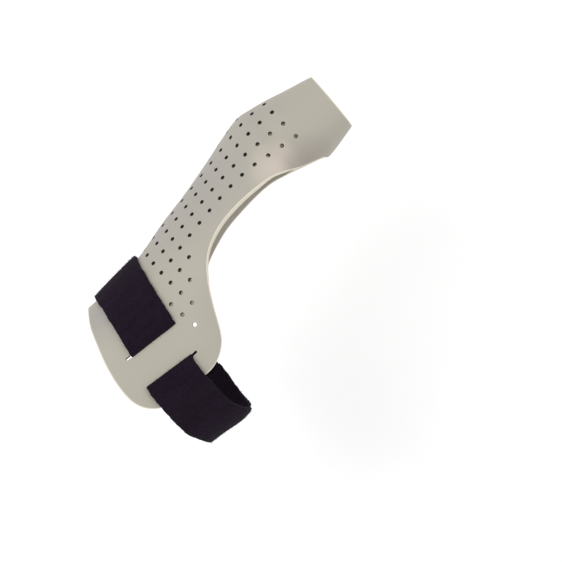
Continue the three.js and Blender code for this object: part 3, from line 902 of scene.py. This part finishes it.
class SplintSheetSizes(bpy.types.PropertyGroup):
    """Sizes and colours of the moulded sheet"""

    wall: bpy.props.FloatProperty(
        name="Wall", description="Thickness of the moulded sheet", default=2.4 * MM, unit="LENGTH"
    )
    edge_round: bpy.props.FloatProperty(
        name="Edge rounding", description="Radius of the trimmed edges", default=0.5 * MM, unit="LENGTH"
    )
    slit_length: bpy.props.FloatProperty(
        name="Slit length", description="Length of each strap slit", default=24.8 * MM, unit="LENGTH"
    )
    slit_width: bpy.props.FloatProperty(
        name="Slit width", description="Width of each strap slit", default=1.7 * MM, unit="LENGTH"
    )
    slit_end: bpy.props.FloatProperty(
        name="Slit end", description="Width of a slit past the strap", default=1.0 * MM, unit="LENGTH"
    )
    hole_diameter: bpy.props.FloatProperty(
        name="Perforations", description="Diameter of the perforations", default=1.8 * MM, unit="LENGTH"
    )
    colour: bpy.props.FloatVectorProperty(
        name="Sheet", description="Colour of the sheet", subtype="COLOR", size=4,
        default=(0.402, 0.379, 0.32, 1),
    )
    warm: bpy.props.FloatVectorProperty(
        name="Warm", description="Its warmer patches", subtype="COLOR", size=4,
        default=(0.435, 0.39, 0.33, 1),
    )
    # Painted shade: a greyer tone laid along the sheet's radial side, where it turns from the light.
    radial_shade: bpy.props.FloatVectorProperty(
        name="Grey", description="Its greyer patches", subtype="COLOR", size=4,
        default=(0.35, 0.33, 0.305, 1),
    )
    light: bpy.props.FloatVectorProperty(
        name="Light", description="Its paler patch by the web", subtype="COLOR", size=4,
        default=(0.56, 0.49, 0.43, 1),
    )
    # Painted shade for the web corner.
    web_corner_shade: bpy.props.FloatVectorProperty(
        name="Shade", description="Its darker web corner", subtype="COLOR", size=4,
        default=(0.3, 0.27, 0.24, 1),
    )
    # Pale trimmed edge, partly a painted highlight along the rounded edge.
    edge: bpy.props.FloatVectorProperty(
        name="Edge", description="Colour of the trimmed edge", subtype="COLOR", size=4,
        default=(0.74, 0.68, 0.56, 1),
    )
    # Painted shade inside the perforations and slits.
    bore_shade: bpy.props.FloatVectorProperty(
        name="Bored", description="Colour inside the perforations", subtype="COLOR", size=4,
        default=(0.05, 0.042, 0.032, 1),
    )


class SplintStrapSizes(bpy.types.PropertyGroup):
    """Sizes and colours of the strap and its hook tape"""

    width: bpy.props.FloatProperty(
        name="Width", description="Width of the strap", default=22 * MM, unit="LENGTH"
    )
    thickness: bpy.props.FloatProperty(
        name="Thickness", description="Thickness of the strap", default=1.5 * MM, unit="LENGTH"
    )
    hook_thickness: bpy.props.FloatProperty(
        name="Hook thickness", description="Thickness of the hook tape", default=1.0 * MM, unit="LENGTH"
    )
    clearance: bpy.props.FloatProperty(
        name="Clearance", description="Gap between pieces that lie on each other", default=0.3 * MM,
        unit="LENGTH",
    )
    layer_gap: bpy.props.FloatProperty(
        name="Layer gap", description="Gap on each side of the hook tape", default=0.5 * MM, unit="LENGTH"
    )
    fibres: bpy.props.IntProperty(
        name="Fibres", description="Loose loops on the pile", default=7000, min=0
    )
    colour: bpy.props.FloatVectorProperty(
        name="Pile", description="Colour of the pile", subtype="COLOR", size=4,
        default=(0.0074, 0.0038, 0.0074, 1),
    )
    cast: bpy.props.FloatVectorProperty(
        name="Cast", description="Its purple cast", subtype="COLOR", size=4,
        default=(0.0096, 0.0052, 0.0118, 1),
    )
    hook: bpy.props.FloatVectorProperty(
        name="Hook", description="Colour of the hook tape", subtype="COLOR", size=4,
        default=(0.012, 0.011, 0.012, 1),
    )


class SplintStageSizes(bpy.types.PropertyGroup):
    """Where the floor and the camera stand"""

    floor_drop: bpy.props.FloatProperty(
        name="Floor drop", description="How far the floor lies below the splint", default=75 * MM,
        unit="LENGTH",
    )
    distance: bpy.props.FloatProperty(
        name="Camera distance", description="From the camera to the splint", default=2.0, unit="LENGTH"
    )
    view_width: bpy.props.FloatProperty(
        name="View width", description="Width of the view at the splint", default=224.8 * MM, unit="LENGTH"
    )


class SPLINT_OT_sheet(bpy.types.Operator):
    """Makes the moulded sheet with its perforations and slits"""

    bl_idname = "splint.sheet"
    bl_label = "Moulded sheet"

    def execute(self, context):
        sizes = context.scene.splint_sheet
        bm = flat_sheet()
        bend(bm)
        bmesh.ops.remove_doubles(bm, verts=bm.verts, dist=SHEET_MERGE)
        finishes = (moulded_plastic(sizes), cut_edge_and_highlight(sizes.edge), bore_painted_shade(sizes.bore_shade))
        shell = new_piece("moulded_sheet", bm, *finishes)
        modifier(shell, "SUBSURF", levels=1, render_levels=1)
        modifier(shell, "SOLIDIFY", thickness=sizes.wall, offset=-1, material_offset_rim=EDGE_AND_HIGHLIGHT_FINISH)
        bake_modifiers(shell)
        round_rim(shell, sizes.edge_round)
        cutters = cutting_pieces(sizes, context.scene.splint_strap.width / MM, finishes)
        modifier(shell, "BOOLEAN", operation="DIFFERENCE", object=cutters, solver="EXACT")
        bake_modifiers(shell, SHEET_SMOOTH)
        bpy.data.objects.remove(cutters)
        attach(shell, "root")
        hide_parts("splint_shell")
        return {"FINISHED"}


class SPLINT_OT_strap(bpy.types.Operator):
    """Makes the loop-pile strap with its loose fibres"""

    bl_idname = "splint.strap"
    bl_label = "Wrist strap"

    def execute(self, context):
        sizes = context.scene.splint_strap
        pile = loop_pile(sizes.colour, sizes.cast)
        strap = new_piece("pile_strap", strap_body(sizes, context.scene.splint_sheet.wall / MM), pile)
        modifier(strap, "SOLIDIFY", thickness=sizes.thickness * STRAP_CORE, offset=0)
        modifier(
            strap, "BEVEL", width=sizes.thickness * STRAP_ROUND, segments=3, limit_method="ANGLE",
            angle_limit=math.radians(STRAP_SMOOTH), use_clamp_overlap=False,
        )
        mesh = bake_modifiers(strap, STRAP_SMOOTH)
        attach(strap, "root")
        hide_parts("wrist_strap")

        fuzz = bpy.data.objects.new("pile_fibres", mesh.copy())
        context.scene.collection.objects.link(fuzz)
        fibre = new_fibre(pile)
        scatter(fuzz, fibre, sizes.fibres, sum(face.area for face in mesh.polygons), FIBRE_SEED)
        context.view_layer.update()
        bake_modifiers(fuzz, STRAP_SMOOTH)
        bpy.data.objects.remove(fibre)
        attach(fuzz, "root")
        return {"FINISHED"}


class SPLINT_OT_hook(bpy.types.Operator):
    """Makes the patch of hook tape under the strap's outer end"""

    bl_idname = "splint.hook"
    bl_label = "Hook tape"

    def execute(self, context):
        sizes = context.scene.splint_strap
        body = hook_body(sizes, context.scene.splint_sheet.wall / MM)
        hook = new_piece("hook_patch", body, hook_tape(sizes.hook))
        modifier(
            hook, "BEVEL", width=HOOK_ROUND * MM, segments=2, limit_method="ANGLE",
            angle_limit=math.radians(HOOK_CORNER),
        )
        bake_modifiers(hook, HOOK_SMOOTH)
        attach(hook, "root")
        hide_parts("hook_tab")
        return {"FINISHED"}


class SPLINT_OT_stage(bpy.types.Operator):
    """Makes the pale floor, the soft lights and the camera"""

    bl_idname = "splint.stage"
    bl_label = "Studio"

    def execute(self, context):
        sizes = context.scene.splint_stage
        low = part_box("splint_shell")[0]
        bm = bmesh.new()
        bmesh.ops.create_grid(bm, x_segments=1, y_segments=1, size=FLOOR_SIZE)
        bmesh.ops.translate(bm, verts=bm.verts, vec=(0, 0, (low[2] - sizes.floor_drop) / MM))
        new_piece("floor", bm, pale_floor())

        world = bpy.data.worlds.new("studio")
        world.use_nodes = True
        background = next(n for n in world.node_tree.nodes if n.type == "BACKGROUND")
        background.inputs["Color"].default_value = WHITE
        background.inputs["Strength"].default_value = SKY_STRENGTH
        context.scene.world = world
        for name, place, size, power in LIGHTS:
            light = bpy.data.objects.new(name, bpy.data.lights.new(name, "AREA"))
            light.data.shape = "SQUARE"
            light.data.size = size
            light.data.energy = power
            light.matrix_world = shining(place, LIGHT_AIM)
            context.scene.collection.objects.link(light)

        camera = bpy.data.objects.new("camera", bpy.data.cameras.new("camera"))
        camera.data.sensor_width = SENSOR
        camera.data.lens = SENSOR * sizes.distance / sizes.view_width
        camera.data.clip_end = CLIP_END
        right, up = Vector(VIEW_RIGHT).normalized(), Vector(VIEW_UP).normalized()
        turned = Matrix((right, up, right.cross(up))).transposed().to_4x4()
        place = Vector(VIEW_CENTRE) + Vector((0, 0, sizes.distance))
        camera.matrix_world = Matrix.Translation(place) @ turned
        context.scene.collection.objects.link(camera)
        context.scene.camera = camera
        context.scene.view_settings.view_transform = "Standard"
        return {"FINISHED"}


PANEL_BOXES = {
    "splint_sheet": ("splint.sheet",),
    "splint_strap": ("splint.strap", "splint.hook"),
    "splint_stage": ("splint.stage",),
}


class SPLINT_PT_panel(bpy.types.Panel):
    """Lists the splint's sizes and makers"""

    bl_idname = "SPLINT_PT_panel"
    bl_label = "Thumb splint"
    bl_space_type = "VIEW_3D"
    bl_region_type = "UI"
    bl_category = "Splint"

    def draw(self, context):
        for group, operators in PANEL_BOXES.items():
            box = self.layout.box()
            sizes = getattr(context.scene, group)
            for name in sizes.bl_rna.properties.keys():
                if name not in ("rna_type", "name"):
                    box.prop(sizes, name)
            for operator in operators:
                box.operator(operator)


GROUPS = {
    "splint_sheet": SplintSheetSizes,
    "splint_strap": SplintStrapSizes,
    "splint_stage": SplintStageSizes,
}
CLASSES = (
    *GROUPS.values(),
    SPLINT_OT_sheet,
    SPLINT_OT_strap,
    SPLINT_OT_hook,
    SPLINT_OT_stage,
    SPLINT_PT_panel,
)


def register():
    for each in CLASSES:
        bpy.utils.register_class(each)
    for name, group in GROUPS.items():
        setattr(bpy.types.Scene, name, bpy.props.PointerProperty(type=group))


def unregister():
    for name in GROUPS:
        delattr(bpy.types.Scene, name)
    for each in reversed(CLASSES):
        bpy.utils.unregister_class(each)


def main():
    register()
    bpy.ops.splint.stage()
    bpy.ops.splint.sheet()
    bpy.ops.splint.strap()
    bpy.ops.splint.hook()


if __name__ == "__main__":
    main()
